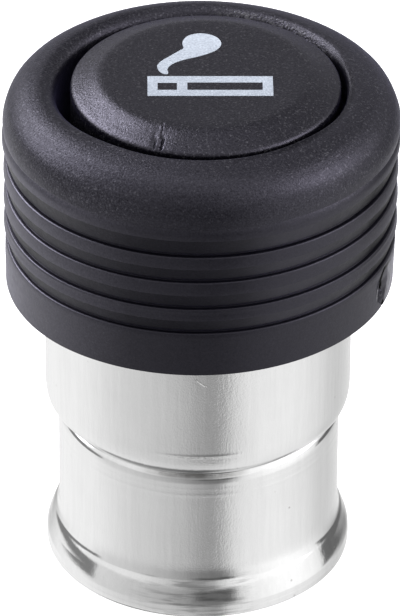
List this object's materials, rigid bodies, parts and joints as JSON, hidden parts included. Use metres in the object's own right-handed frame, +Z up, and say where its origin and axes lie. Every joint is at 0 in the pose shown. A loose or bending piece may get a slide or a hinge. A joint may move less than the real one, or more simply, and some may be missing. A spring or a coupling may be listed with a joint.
{
  "type": "car cigarette lighter plug",
  "caption": "Push-button lighter plug for a 12 V car socket: ribbed grip ring, sprung button, stepped metal sleeve and a coiled ribbon heater that travels with the button.",
  "frame": {"origin": "centre of the sleeve's open end, on the plane the plug stands on", "axes": "+Z up along the plug's axis towards the button, -Y the side the button's symbol reads from"},
  "size_m": [0.0266, 0.0266, 0.0371],
  "materials": {
    "black_plastic": "matt moulded black, finely grained",
    "satin_steel": "satin drawn stainless steel with fine pits and streaks",
    "plated_steel": "dull nickel plate",
    "spring_steel": "bright drawn spring steel",
    "brass": "turned brass",
    "red_fibre": "vulcanised fibre",
    "mica": "pressed mica, flaky",
    "ceramic": "unglazed steatite",
    "heater_ribbon": "oxidised resistance ribbon"
  },
  "bodies": {
    "housing": {"grip_ring": "black_plastic", "sleeve": "satin_steel", "guide_cup": "plated_steel", "guide_bush": "brass", "return_spring": "spring_steel"},
    "plunger": {"button": "black_plastic", "threaded_insert": "brass", "push_rod": "plated_steel", "lock_nut": "plated_steel", "lock_washer": "spring_steel", "spring_seat": "plated_steel", "stop_washer": "red_fibre", "retaining_clip": "spring_steel", "backing_plate": "plated_steel", "upper_mica": "mica", "heater_cup": "plated_steel", "ceramic_ferrule": "ceramic", "lower_mica": "mica", "centre_post": "plated_steel", "heater_coil": "heater_ribbon"}
  },
  "joints": [
    {"name": "button_press", "type": "slide", "parent": "housing", "child": "plunger", "axis": [0, 0, -1], "range_m": [0, 0.0055], "stiffness_N_per_m": 900, "springref_m": -0.005, "deforming": ["return_spring"]}
  ]
}
